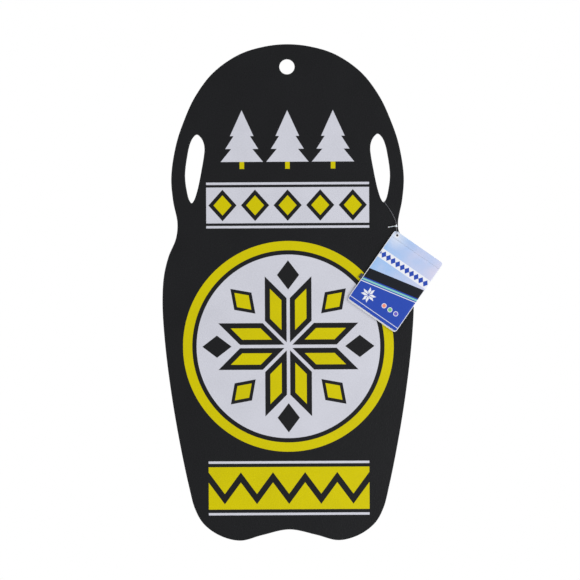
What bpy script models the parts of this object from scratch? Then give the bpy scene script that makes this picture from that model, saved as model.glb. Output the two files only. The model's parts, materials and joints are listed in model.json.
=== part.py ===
"""Roll-up snow sled, hanging flat from the hole in its nose.

A thin foam deck is bonded to a slick plastic base, and the pair is one bendy sheet. It has a round
nose with a hanging hole, a hand grip cut through each cheek, a waist, a long body and a two-lobed
tail. A booklet tag hangs from a filament loop that runs through the right grip and round the waist.

Metres. The origin is the middle of the hanging hole. +Z runs up to the nose tip, the deck's face
looks along -Y, and the base's slick face looks along +Y. The empties named fold_NN stand on the
lines where the sheet rolls up: turning each of them by ROLL_TURN about X rolls the sled backwards.
"""

import math

import bmesh
import bpy
from mathutils import Vector

# Sheet
LENGTH = 0.914
HALF_WIDTH = 0.2315
DECK_THICK = 0.0040
BASE_THICK = 0.0008
BOND_GAP = 0.0003
HANG_HOLE_RADIUS = 0.0140
HANG_HOLE_DROP = 0.0415

# Hand grips, cut through both cheeks
GRIP_TALL = 0.1264
GRIP_WIDE = 0.0360
GRIP_DROP = 0.1656
GRIP_RIM = 0.0255
LAND_BELOW_GRIP = 0.0660

# Roll: the sheet turns by the same angle at each fold, on a spiral that tightens to the core
FOLD_COUNT = 24
ROLL_TURN = math.radians(28)
CORE_RADIUS = 0.0350
TAIL_STRIP = 0.0270
FOLD_GAP = 0.0003

# Swing tag, a small booklet bound along its head
TAG_WIDE = 0.1080
TAG_TALL = 0.1554
TAG_CORNER_RADIUS = 0.0055
TAG_COVER_THICK = 0.0004
TAG_LEAVES_THICK = 0.0008
TAG_LEAF_MARGIN = 0.0008
TAG_HEAD_TALL = 0.0130
TAG_PAGE_GAP = 0.0003
TAG_HOLE_RADIUS = 0.0020
TAG_HOLE_FROM_SIDE = 0.0088
TAG_HOLE_FROM_HEAD = 0.0060
TAG_STANDOFF = 0.0018
TAG_TILT = math.radians(35.1)
TAG_HOLE_DROP = 0.3535
TAG_HOLE_INSET = 0.0042

# Loop fastener
FILAMENT_DIAMETER = 0.0009
LOCK_RADIUS = 0.0013
PADDLE_LENGTH = 0.0155
PADDLE_THICK = 0.0011
PADDLE_RISE_SHARE = 0.18
PADDLE_DROOP = 0.0024
JOINT_GAP = 0.0003

# The filament's way, from the top of the lock: up the front of the rim, through the grip's foot,
# down the back, round the waist's edge, through the tag's hole and up into the lock's lower end
LOOP_ROUTE = [
    (0.1996, -0.0064, -0.2912),
    (0.1990, -0.0054, -0.2872),
    (0.1966, -0.0045, -0.2806),
    (0.1917, -0.0041, -0.2706),
    (0.1854, -0.0040, -0.2606),
    (0.1801, -0.0042, -0.2532),
    (0.1776, -0.0035, -0.2494),
    (0.1770, 0.0000, -0.2484),
    (0.1776, 0.0035, -0.2494),
    (0.1803, 0.0042, -0.2533),
    (0.1862, 0.0041, -0.2620),
    (0.1932, 0.0041, -0.2735),
    (0.1988, 0.0041, -0.2860),
    (0.2030, 0.0041, -0.2980),
    (0.2060, 0.0038, -0.3066),
    (0.2082, 0.0022, -0.3116),
    (0.2084, -0.0008, -0.3136),
    (0.2068, -0.0030, -0.3136),
    (0.2042, -0.0035, -0.3128),
    (0.2021, -0.0043, -0.3122),
    (0.2014, -0.0057, -0.3119),
    (0.2011, -0.0074, -0.3111),
    (0.2007, -0.0081, -0.3083),
    (0.2002, -0.0080, -0.3049),
    (0.1998, -0.0071, -0.3008),
]

# Right half of the sheet's outline from the nose tip to the middle of the tail notch, as
# (share of HALF_WIDTH, share of LENGTH)
OUTLINE_SHARES = [
    (0.000, 0.000),
    (0.189, 0.005),
    (0.386, 0.021),
    (0.589, 0.057),
    (0.733, 0.105),
    (0.823, 0.154),
    (0.886, 0.202),
    (0.925, 0.266),
    (0.912, 0.314),
    (0.878, 0.360),
    (0.891, 0.391),
    (0.950, 0.427),
    (0.988, 0.467),
    (1.000, 0.522),
    (0.982, 0.600),
    (0.937, 0.696),
    (0.875, 0.793),
    (0.798, 0.889),
    (0.749, 0.936),
    (0.681, 0.966),
    (0.550, 0.990),
    (0.389, 1.000),
    (0.214, 0.989),
    (0.000, 0.978),
]

# Right grip from its top, clockwise, as (share of GRIP_WIDE from the inner side outwards,
# share of GRIP_TALL downwards)
GRIP_SHARES = [
    (0.39, 0.00),
    (0.60, 0.05),
    (0.77, 0.16),
    (0.90, 0.34),
    (0.98, 0.50),
    (1.00, 0.63),
    (0.93, 0.80),
    (0.80, 0.95),
    (0.67, 1.00),
    (0.55, 0.96),
    (0.39, 0.83),
    (0.28, 0.70),
    (0.17, 0.54),
    (0.035, 0.32),
    (0.00, 0.21),
    (0.05, 0.12),
    (0.20, 0.04),
]
GRIP_WIDEST_SHARE = 0.63

# Counts, the angle from which an edge stays sharp, and one overrun for the cuts
CURVE_STEPS = 4
GRIP_STEPS = 3
HOLE_SIDES = 40
SMALL_HOLE_SIDES = 20
CORNER_STEPS = 5
LOCK_SIDES = 16
FILAMENT_STEPS = 3
FILAMENT_BEVEL_STEPS = 2
SHARP_FROM = math.radians(35)
OVERRUN = 0.0050

# Depths of the two faces, and the way through the sheet
SHEET_THICK = DECK_THICK + BOND_GAP + BASE_THICK
FRONT = -SHEET_THICK / 2
BACK = SHEET_THICK / 2
THROUGH_SHEET = Vector((0, 1, 0))


def clear_scene():
    for obj in list(bpy.data.objects):
        bpy.data.objects.remove(obj, do_unlink=True)


def material(name, colour, roughness, metallic=0.0):
    made = bpy.data.materials.new(name)
    made.use_nodes = True
    shader = made.node_tree.nodes["Principled BSDF"]
    shader.inputs["Base Color"].default_value = (*colour, 1)
    shader.inputs["Roughness"].default_value = roughness
    shader.inputs["Metallic"].default_value = metallic
    return made


def height(drop):
    """World height of a place that lies this far below the nose tip."""
    return HANG_HOLE_DROP - drop


# Curves


def through(points, steps, before, after):
    """Points along a centripetal Catmull-Rom curve through points, which ends at the last one."""
    ends = [Vector(before), *map(Vector, points), Vector(after)]
    curve = []
    for a, b, c, d in zip(ends, ends[1:], ends[2:], ends[3:]):
        t1 = (b - a).length ** 0.5
        t2 = t1 + (c - b).length ** 0.5
        t3 = t2 + (d - c).length ** 0.5
        for i in range(steps):
            t = t1 + (t2 - t1) * i / steps
            ab = a.lerp(b, t / t1)
            bc = b.lerp(c, (t - t1) / (t2 - t1))
            cd = c.lerp(d, (t - t2) / (t3 - t2))
            curve.append(ab.lerp(bc, t / t2).lerp(bc.lerp(cd, (t - t1) / (t3 - t1)), (t - t1) / (t2 - t1)))
    return [*curve, ends[-2]]


def sheet_half():
    """Right half of the outline, as (distance from the middle, drop from the nose tip)."""
    points = [(w * HALF_WIDTH, d * LENGTH) for w, d in OUTLINE_SHARES]
    before = (-points[1][0], points[1][1])
    after = (-points[-2][0], points[-2][1])
    return [tuple(p) for p in through(points, CURVE_STEPS, before, after)]


HALF_OUTLINE = sheet_half()


def side_at(drop):
    """Half the sheet's width at this drop, read on the side from the nose to the tail's lobe."""
    for (w0, d0), (w1, d1) in zip(HALF_OUTLINE, HALF_OUTLINE[1:]):
        if d0 <= drop <= d1:
            return w0 + (w1 - w0) * (drop - d0) / (d1 - d0)
    return HALF_OUTLINE[-1][0]


def band(top, bottom):
    """The stretch of the sheet between two drops, as corners (x, z). None leaves that end whole."""
    lobe = max(range(len(HALF_OUTLINE)), key=lambda i: HALF_OUTLINE[i][1])
    half = []
    for i, (w, d) in enumerate(HALF_OUTLINE):
        if (top is None or d > top or i > lobe) and (bottom is None or d < bottom and i <= lobe):
            half.append((w, d))
    if top is not None:
        half.insert(0, (side_at(top), top))
    if bottom is not None:
        half.append((side_at(bottom), bottom))
    mirrored = [(-w, d) for w, d in reversed(half) if w > 0]
    return [(w, height(d)) for w, d in half + mirrored]


def grip_outline(side):
    """One grip's outline as corners (x, z): side is 1 for the right one and -1 for the left."""
    outer = side_at(GRIP_DROP + GRIP_WIDEST_SHARE * GRIP_TALL) - GRIP_RIM
    inner = outer - GRIP_WIDE
    points = [(inner + u * GRIP_WIDE, GRIP_DROP + v * GRIP_TALL) for u, v in GRIP_SHARES]
    ring = through([*points, points[0]], GRIP_STEPS, points[-1], points[1])[:-1]
    return [(side * w, height(d)) for w, d in ring]


def rounded_corners(low, high, radius, rounded):
    """A rectangle's corners (x, z), clockwise from the lower left; rounded names those with an arc."""
    signs = {"lower_left": (-1, -1), "upper_left": (-1, 1), "upper_right": (1, 1), "lower_right": (1, -1)}
    corners = []
    for i, (name, (sx, sz)) in enumerate(signs.items()):
        corner = (high[0] if sx > 0 else low[0], high[1] if sz > 0 else low[1])
        if name not in rounded:
            corners.append(corner)
            continue
        middle = (corner[0] - sx * radius, corner[1] - sz * radius)
        start = math.pi * 1.5 - math.pi * 0.5 * i
        for k in range(CORNER_STEPS + 1):
            turn = start - math.pi * 0.5 * k / CORNER_STEPS
            corners.append((middle[0] + radius * math.cos(turn), middle[1] + radius * math.sin(turn)))
    return corners


# Solids


def put(name, mesh, look, parent=None, place=(0, 0, 0)):
    """An object whose origin is at a place that is measured from the empty that carries it."""
    obj = bpy.data.objects.new(name, mesh)
    mesh.materials.append(look)
    bpy.context.scene.collection.objects.link(obj)
    obj.parent = parent
    obj.location = place
    return obj


def empty(name, parent, place, tilt=0.0):
    """An empty that carries what turns with it. A tilted one turns its load about Y."""
    obj = bpy.data.objects.new(name, None)
    bpy.context.scene.collection.objects.link(obj)
    obj.parent = parent
    obj.location = place
    obj.rotation_euler.y = tilt
    return obj


def plate_mesh(name, corners, front, back, about=(0, 0, 0)):
    """A flat plate with this outline, from depth front to depth back, measured from about."""
    bm = bmesh.new()
    ring = [bm.verts.new((x - about[0], front - about[1], z - about[2])) for x, z in corners]
    face = bm.faces.new(ring)
    pushed = bmesh.ops.extrude_face_region(bm, geom=[face])["geom"]
    moved = [v for v in pushed if isinstance(v, bmesh.types.BMVert)]
    bmesh.ops.translate(bm, verts=moved, vec=(0, back - front, 0))
    bmesh.ops.recalc_face_normals(bm, faces=bm.faces)
    mesh = bpy.data.meshes.new(name)
    bm.to_mesh(mesh)
    bm.free()
    return mesh


def rod_mesh(name, radius, length, sides, along):
    """A round rod about the origin, shaded smooth round its side, with its axis along a vector."""
    bm = bmesh.new()
    bmesh.ops.create_cone(
        bm, cap_ends=True, segments=sides, radius1=radius, radius2=radius, depth=length,
        matrix=along.to_track_quat("Z", "Y").to_matrix().to_4x4(),
    )
    bmesh.ops.recalc_face_normals(bm, faces=bm.faces)
    mesh = bpy.data.meshes.new(name)
    bm.to_mesh(mesh)
    bm.free()
    mesh.shade_smooth()
    mesh.set_sharp_from_angle(angle=SHARP_FROM)
    return mesh


def cutter(name, mesh, look, parent=None, place=(0, 0, 0)):
    obj = put(name, mesh, look, parent, place)
    obj.hide_render = True
    obj.display_type = "WIRE"
    return obj


def boolean(obj, other, operation):
    modifier = obj.modifiers.new(other.name, "BOOLEAN")
    modifier.operation = operation
    modifier.object = other


# Sheet


def fold_drops():
    """Drops of the fold lines: the strips between them are the sides of a tightening spiral."""
    first = GRIP_DROP + GRIP_TALL + LAND_BELOW_GRIP
    run = LENGTH - first - TAIL_STRIP
    strips = FOLD_COUNT - 1
    side = 2 * math.tan(ROLL_TURN / 2)
    waist_radius = 2 * run / (strips * side) - CORE_RADIUS
    drops = [first]
    for i in range(strips):
        radius = waist_radius + (CORE_RADIUS - waist_radius) * i / (strips - 1)
        drops.append(drops[-1] + side * radius)
    return drops


def sheet_cutters(look):
    """What cuts the hanging hole and the two grips through both layers."""
    through_all = SHEET_THICK + 2 * OVERRUN
    rod = rod_mesh("hang_hole_cutter", HANG_HOLE_RADIUS, through_all, HOLE_SIDES, THROUGH_SHEET)
    cutters = [cutter("hang_hole_cutter", rod, look)]
    for label, side in (("right", 1), ("left", -1)):
        name = f"grip_cutter_{label}"
        plate = plate_mesh(name, grip_outline(side), FRONT - OVERRUN, BACK + OVERRUN)
        cutters.append(cutter(name, plate, look))
    return cutters


def make_sheet(looks):
    """The nose section, then the strips and the tail, each carried by the fold above it."""
    drops = fold_drops()
    layers = (
        ("deck", FRONT, FRONT + DECK_THICK),
        ("base", BACK - BASE_THICK, BACK),
    )
    cutters = sheet_cutters(looks["deck"])
    corners = band(None, drops[0] - FOLD_GAP / 2)
    for layer, front, back in layers:
        name = f"{layer}_nose"
        nose = put(name, plate_mesh(name, corners, front, back), looks[layer])
        for cut in cutters:
            boolean(nose, cut, "DIFFERENCE")

    carrier, carrier_at = None, Vector()
    for i, top in enumerate(drops):
        last = i == len(drops) - 1
        label = "tail" if last else f"strip_{i + 1:02d}"
        hinge = Vector((0, BACK, height(top)))
        carrier = empty(f"fold_{i + 1:02d}", carrier, hinge - carrier_at)
        carrier_at = hinge
        corners = band(top + FOLD_GAP / 2, None if last else drops[i + 1] - FOLD_GAP / 2)
        for layer, front, back in layers:
            name = f"{layer}_{label}"
            put(name, plate_mesh(name, corners, front, back, hinge), looks[layer], carrier)


# Swing tag and its loop


def make_loop(looks):
    """The filament and its lock, which turn about the filament's top, in the right grip's foot."""
    foot = Vector(max(LOOP_ROUTE, key=lambda point: point[2]))
    pivot = empty("loop_swing", None, foot)
    start, end = Vector(LOOP_ROUTE[0]), Vector(LOOP_ROUTE[-1])
    before, after = 2 * start - Vector(LOOP_ROUTE[1]), 2 * end - Vector(LOOP_ROUTE[-2])
    line = through(LOOP_ROUTE, FILAMENT_STEPS, before, after)
    curve = bpy.data.curves.new("loop_filament", "CURVE")
    curve.dimensions = "3D"
    curve.bevel_depth = FILAMENT_DIAMETER / 2
    curve.bevel_resolution = FILAMENT_BEVEL_STEPS
    curve.use_fill_caps = True
    spline = curve.splines.new("POLY")
    spline.points.add(len(line) - 1)
    for point, place in zip(spline.points, line):
        point.co = (*(place - foot), 1)
    put("loop_filament", curve, looks["filament"], pivot)

    tall = (start - end).length - 2 * JOINT_GAP
    middle = (start + end) / 2 - foot
    barrel = rod_mesh("loop_lock", LOCK_RADIUS, tall, LOCK_SIDES, start - end)
    lock = put("loop_lock", barrel, looks["lock"], pivot, middle)
    half = PADDLE_THICK / 2
    end_low, end_high = (-PADDLE_LENGTH, -PADDLE_DROOP - half), (-PADDLE_LENGTH, -PADDLE_DROOP + half)
    bar = [end_low, end_high, (0, half), (0, -half)]
    rise = Vector((0, 0, PADDLE_RISE_SHARE * tall))
    paddle = cutter("lock_paddle", plate_mesh("lock_paddle", bar, -half, half),
                    looks["lock"], pivot, middle + rise)
    boolean(lock, paddle, "UNION")
    return pivot, foot


def make_tag(looks, loop, loop_at):
    """The booklet hangs by the hole near its head's left end, so it leans by TAG_TILT."""
    leaves_behind = TAG_COVER_THICK + TAG_PAGE_GAP
    cover_behind = leaves_behind + TAG_LEAVES_THICK + TAG_PAGE_GAP
    half = (cover_behind + TAG_COVER_THICK) / 2
    back_depths = (half - TAG_COVER_THICK, half)
    leaf_depths = (half - leaves_behind - TAG_LEAVES_THICK, half - leaves_behind)
    cover_depths = (-half, half - cover_behind)
    head_depths = (cover_depths[0], leaf_depths[1])

    left, right = -TAG_HOLE_FROM_SIDE, TAG_WIDE - TAG_HOLE_FROM_SIDE
    top, bottom = TAG_HOLE_FROM_HEAD, TAG_HOLE_FROM_HEAD - TAG_TALL
    crease = top - TAG_HEAD_TALL
    head_corners = ("upper_left", "upper_right")
    foot_corners = ("lower_left", "lower_right")

    hole_x = side_at(TAG_HOLE_DROP) - TAG_HOLE_INSET
    hole_at = Vector((hole_x, FRONT - TAG_STANDOFF - half, height(TAG_HOLE_DROP)))
    hang = empty("tag_swing", loop, hole_at - loop_at, TAG_TILT)
    rod = rod_mesh("tag_hole_cutter", TAG_HOLE_RADIUS, 2 * (half + OVERRUN), SMALL_HOLE_SIDES, THROUGH_SHEET)
    hole = cutter("tag_hole_cutter", rod, looks["card"], hang)

    corners = rounded_corners((left, bottom), (right, top), TAG_CORNER_RADIUS, head_corners + foot_corners)
    back = put("tag_back", plate_mesh("tag_back", corners, *back_depths), looks["card"], hang)
    boolean(back, hole, "DIFFERENCE")
    corners = rounded_corners((left, crease), (right, top), TAG_CORNER_RADIUS, head_corners)
    head = put("tag_head", plate_mesh("tag_head", corners, *head_depths), looks["card"], hang)
    boolean(head, hole, "DIFFERENCE")

    for name, look, turner, margin, (front, near) in (
        ("tag_leaves", "leaf", "pages_turn", TAG_LEAF_MARGIN, leaf_depths),
        ("tag_cover", "card", "cover_open", 0, cover_depths),
    ):
        hinge = (0, front, crease)
        carrier = empty(turner, hang, hinge)
        low = (left + margin, bottom + margin)
        high = (right - margin, crease - JOINT_GAP)
        corners = rounded_corners(low, high, TAG_CORNER_RADIUS, foot_corners)
        put(name, plate_mesh(name, corners, front, near, hinge), looks[look], carrier)


def main():
    clear_scene()
    looks = {
        "deck": material("printed_foam", (0.016, 0.016, 0.018), 0.55),
        "base": material("slick_base", (0.010, 0.010, 0.011), 0.28),
        "card": material("printed_card", (0.045, 0.10, 0.45), 0.30),
        "leaf": material("tag_leaf", (0.80, 0.81, 0.83), 0.55),
        "filament": material("loop_nylon", (0.62, 0.64, 0.68), 0.35),
        "lock": material("lock_nylon", (0.80, 0.80, 0.80), 0.40),
    }
    make_sheet(looks)
    make_tag(looks, *make_loop(looks))


main()
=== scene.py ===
# %% [markdown]
# # A roll-up snow sled
#
# This script dresses a roll-up snow sled. The real thing is one bendy sheet: a printed foam deck
# bonded to a thin slick base, die cut to a round nose, a waist and a two-lobed tail, with a hanging
# hole and two hand grips. A small booklet hangs from the right grip on a nylon loop.
#
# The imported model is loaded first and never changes. It says where everything is, which pieces
# move together and about which lines. Metres throughout: +Z is up, and the print looks along -Y.

# %% Load the frame
import json
import math

import bmesh
import bpy
from mathutils import Matrix, Vector

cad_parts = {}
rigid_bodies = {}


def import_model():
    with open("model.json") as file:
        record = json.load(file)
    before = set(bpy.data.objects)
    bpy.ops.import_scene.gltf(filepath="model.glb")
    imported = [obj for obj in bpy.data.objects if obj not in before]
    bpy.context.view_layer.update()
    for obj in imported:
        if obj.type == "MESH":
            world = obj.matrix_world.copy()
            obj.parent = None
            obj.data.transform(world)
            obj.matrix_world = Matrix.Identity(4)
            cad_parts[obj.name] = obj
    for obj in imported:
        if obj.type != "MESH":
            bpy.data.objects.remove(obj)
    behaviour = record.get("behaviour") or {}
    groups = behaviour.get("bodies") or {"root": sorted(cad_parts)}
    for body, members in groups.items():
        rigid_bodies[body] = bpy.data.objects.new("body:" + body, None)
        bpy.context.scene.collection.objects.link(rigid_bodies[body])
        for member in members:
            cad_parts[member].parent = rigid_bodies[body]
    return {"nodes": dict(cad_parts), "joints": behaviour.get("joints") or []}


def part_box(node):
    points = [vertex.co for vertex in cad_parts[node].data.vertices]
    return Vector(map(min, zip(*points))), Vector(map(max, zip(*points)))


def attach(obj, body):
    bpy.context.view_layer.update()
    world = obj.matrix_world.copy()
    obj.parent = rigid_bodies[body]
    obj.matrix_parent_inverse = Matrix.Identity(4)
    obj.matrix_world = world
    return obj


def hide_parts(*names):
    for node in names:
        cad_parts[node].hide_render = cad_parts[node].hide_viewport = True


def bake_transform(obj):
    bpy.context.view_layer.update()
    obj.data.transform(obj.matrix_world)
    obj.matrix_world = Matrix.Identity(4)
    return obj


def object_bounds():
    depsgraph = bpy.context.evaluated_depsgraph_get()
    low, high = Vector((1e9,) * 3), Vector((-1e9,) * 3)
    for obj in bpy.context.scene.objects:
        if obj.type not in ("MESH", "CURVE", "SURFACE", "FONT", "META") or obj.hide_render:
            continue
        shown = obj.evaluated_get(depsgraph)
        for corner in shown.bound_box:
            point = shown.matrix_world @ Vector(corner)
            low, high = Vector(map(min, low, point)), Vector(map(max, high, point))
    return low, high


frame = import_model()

CAD_LOW, CAD_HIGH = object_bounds()
JOINTS = {joint["name"]: joint for joint in frame["joints"]}

# %% [markdown]
# ## The camera
#
# The picture is taken straight on with a long lens, so the sheet shows no perspective. The camera
# comes first. A lens of 100 mm on a 36 mm sensor sees 0.36 m of width for each metre of distance.

# %% Camera
LENS, SENSOR = 0.100, 0.036
MILLIMETRES = 1000
METRES_PER_PIXEL = 0.0018376
PICTURE_SIZE = 580
PICTURE_MIDDLE = (0.0035, -0.4113)
CAMERA_ROLL = math.radians(0.3)


def link(made):
    """Puts a new object into the scene."""
    bpy.context.scene.collection.objects.link(made)
    return made


distance = METRES_PER_PIXEL * PICTURE_SIZE * LENS / SENSOR
camera = link(bpy.data.objects.new("camera", bpy.data.cameras.new("camera")))
camera.data.lens = LENS * MILLIMETRES
camera.data.sensor_width = SENSOR * MILLIMETRES
camera.location = (PICTURE_MIDDLE[0], CAD_LOW.y - distance, PICTURE_MIDDLE[1])
camera.rotation_euler = (math.radians(90), CAMERA_ROLL, 0)
bpy.context.scene.camera = camera
print(f"camera: {distance:.2f} m in front of the deck")

# %% [markdown]
# ## Smooth lines through a few points
#
# Every outline here is drawn with a spline that passes through a few points. The centripetal kind is
# used, because it makes no loop or spike where two points lie close together. One more point before
# the first and one after the last say which way the curve sets off and arrives.

# %% A curve through points


def through(points, steps, before, after):
    """Points along a centripetal spline through these points, which ends at the last one."""
    ends = [Vector(before), *map(Vector, points), Vector(after)]
    curve = []
    for a, b, c, d in zip(ends, ends[1:], ends[2:], ends[3:]):
        t1 = (b - a).length ** 0.5
        t2 = t1 + (c - b).length ** 0.5
        t3 = t2 + (d - c).length ** 0.5
        for i in range(steps):
            t = t1 + (t2 - t1) * i / steps
            ab = a.lerp(b, t / t1)
            bc = b.lerp(c, (t - t1) / (t2 - t1))
            cd = c.lerp(d, (t - t2) / (t3 - t2))
            near, far = ab.lerp(bc, t / t2), bc.lerp(cd, (t - t1) / (t3 - t1))
            curve.append(near.lerp(far, (t - t1) / (t2 - t1)))
    return [*curve, ends[-2]]


print("curve helper ready")

# %% [markdown]
# ## The tag's loop
#
# The loop is a thin nylon filament. Its two ends meet in a small moulded lock. From the lock it
# runs up the front of the rim, through the grip's foot, down the back, round the waist's edge,
# through the tag's hole and back into the lock. Its points are listed, and a smooth curve runs
# through them. A Blender curve with a bevel makes it round, and its own line stays its
# centreline, so its real length can be measured.

# %% Filament
FILAMENT_DIAMETER = 0.0009
FILAMENT_STEPS, FILAMENT_ROUND_STEPS = 6, 4
LOOP_ROUTE = [
    (0.1996, -0.0064, -0.2912),
    (0.1990, -0.0054, -0.2872),
    (0.1966, -0.0045, -0.2806),
    (0.1917, -0.0041, -0.2706),
    (0.1854, -0.0040, -0.2606),
    (0.1801, -0.0042, -0.2532),
    (0.1776, -0.0035, -0.2494),
    (0.1770, 0.0000, -0.2484),
    (0.1776, 0.0035, -0.2494),
    (0.1803, 0.0042, -0.2533),
    (0.1862, 0.0041, -0.2620),
    (0.1932, 0.0041, -0.2735),
    (0.1988, 0.0041, -0.2860),
    (0.2030, 0.0041, -0.2980),
    (0.2060, 0.0038, -0.3066),
    (0.2082, 0.0022, -0.3116),
    (0.2084, -0.0008, -0.3136),
    (0.2068, -0.0030, -0.3136),
    (0.2042, -0.0035, -0.3128),
    (0.2021, -0.0043, -0.3122),
    (0.2014, -0.0057, -0.3119),
    (0.2011, -0.0074, -0.3111),
    (0.2007, -0.0081, -0.3083),
    (0.2002, -0.0080, -0.3049),
    (0.1998, -0.0071, -0.3008),
]


def add_line(curve, points):
    """Adds a line with straight sides through points (x, y, z) to a curve."""
    spline = curve.splines.new("POLY")
    spline.points.add(len(points) - 1)
    for point, place in zip(spline.points, points):
        point.co = (*place, 1)
    return spline


def make_filament():
    """The filament as a round curve, and its length."""
    start, end = Vector(LOOP_ROUTE[0]), Vector(LOOP_ROUTE[-1])
    before, after = 2 * start - Vector(LOOP_ROUTE[1]), 2 * end - Vector(LOOP_ROUTE[-2])
    line = through(LOOP_ROUTE, FILAMENT_STEPS, before, after)
    curve = bpy.data.curves.new("loop_thread", "CURVE")
    curve.dimensions = "3D"
    curve.bevel_depth = FILAMENT_DIAMETER / 2
    curve.bevel_resolution = FILAMENT_ROUND_STEPS
    curve.use_fill_caps = True
    add_line(curve, line).use_smooth = True
    length = sum((b - a).length for a, b in zip(line, line[1:]))
    return link(bpy.data.objects.new("loop_thread", curve)), length


thread, thread_length = make_filament()
print(f"filament: {thread_length * MILLIMETRES:.1f} mm long, {FILAMENT_DIAMETER * MILLIMETRES} mm thick")

# %% [markdown]
# ## Meshes from code
#
# Most pieces here begin as a bmesh. These helpers turn one into an object, and turn a plain
# profile round an axis. A closed mesh gets its normals recalculated, so that all its faces point out,
# and edges sharper than an angle stay crisp under smooth shading.

# %% Mesh helpers
SHARP_FROM = math.radians(35)
WELD = 1e-6


def add_object(name, mesh, looks):
    for look in looks:
        mesh.materials.append(look)
    return link(bpy.data.objects.new(name, mesh))


def plain_mesh(name, bm):
    """Turns a bmesh into a mesh."""
    mesh = bpy.data.meshes.new(name)
    bm.to_mesh(mesh)
    bm.free()
    return mesh


def smooth_mesh(name, bm):
    """Turns a bmesh into a mesh that is shaded smooth, but for its sharp edges."""
    mesh = plain_mesh(name, bm)
    mesh.shade_smooth()
    mesh.set_sharp_from_angle(angle=SHARP_FROM)
    return mesh


def finish_mesh(name, bm, place=None):
    """A smooth, closed mesh from a bmesh, with its place put into its points."""
    bmesh.ops.remove_doubles(bm, verts=bm.verts, dist=WELD)
    bmesh.ops.recalc_face_normals(bm, faces=bm.faces)
    if place is not None:
        bmesh.ops.transform(bm, matrix=place, verts=bm.verts)
    return smooth_mesh(name, bm)


def turned(profile, sides):
    """A bmesh turned round Z from a profile of (radius, height), whose two ends are closed."""
    bm = bmesh.new()
    turns = [2 * math.pi * k / sides for k in range(sides)]
    rings = [[bm.verts.new((r * math.cos(t), r * math.sin(t), h)) for t in turns] for r, h in profile]
    for low, high in zip(rings, rings[1:]):
        for k in range(sides):
            bm.faces.new((low[k], low[k - 1], high[k - 1], high[k]))
    bm.faces.new(rings[0])
    bm.faces.new(list(reversed(rings[-1])))
    return bm


print(f"mesh helpers: edges sharper than {math.degrees(SHARP_FROM):.0f} degrees stay crisp")

# %% [markdown]
# ## Writing materials as sums
#
# A procedural pattern is mostly arithmetic. A Math node for each step soon becomes unreadable, so
# one small class wraps a socket and overloads the operators. A sum on such values adds its Math nodes
# by itself. Every other node comes from one method, which takes the node's type, its settings and
# what its sockets are fed.

# %% One way to add a node


def feed(tree, socket, value):
    """Links a socket to another node's output, or gives it a number, a colour or a material."""
    if isinstance(value, bpy.types.NodeSocket):
        tree.links.new(value, socket)
    elif socket.type == "RGBA":
        socket.default_value = (*value, 1)
    else:
        socket.default_value = value


def add_node(tree, kind, settings=None, sockets=None):
    """Adds a node, sets it, feeds its sockets and returns its outputs."""
    made = tree.nodes.new(kind)
    for name, value in (settings or {}).items():
        setattr(made, name, value)
    for name, value in (sockets or {}).items():
        feed(tree, made.inputs[name], value)
    return made.outputs


print("node helper ready")

# %% A value that can be used in sums


class Value:
    """A shader socket that can be used in sums."""

    def __init__(self, look, socket):
        self.look, self.socket = look, socket

    def math(self, operation, *others, clamp=False):
        sockets = dict(enumerate((self, *others)))
        settings = {"operation": operation, "use_clamp": clamp}
        return self.look.node("ShaderNodeMath", settings, sockets)[0]

    def __add__(self, other):
        return self.math("ADD", other)

    def __sub__(self, other):
        return self.math("SUBTRACT", other)

    def __rsub__(self, other):
        return (self * -1).math("ADD", other)

    def __mul__(self, other):
        return self.math("MULTIPLY", other)

    def __truediv__(self, other):
        return self.math("DIVIDE", other)

    def __pow__(self, other):
        return self.math("POWER", other)

    def __abs__(self):
        return self.math("ABSOLUTE")

    __radd__, __rmul__ = __add__, __mul__

    def low(self, *others):
        """The lowest of these values: where they are depths, the space inside all of them."""
        least = self
        for other in others:
            least = least.math("MINIMUM", other)
        return least

    def high(self, *others):
        """The highest of these values: where they are depths, the space inside any of them."""
        most = self
        for other in others:
            most = most.math("MAXIMUM", other)
        return most

    def zigzag(self, half_period):
        """Rises from 0 to half_period and falls again."""
        return self.math("PINGPONG", half_period)

    def clamped(self):
        """This value, kept between 0 and 1."""
        return self.math("ADD", 0, clamp=True)

    def inside(self, soft):
        """1 where this depth is above zero and 0 where it is below, with an edge this soft."""
        return (self / soft + 0.5).clamped()


print("values ready, which add their own Math nodes")

# %% A look built from sums
FLAT_MAP = "flat"
RICH_DETAIL = 3


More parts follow.
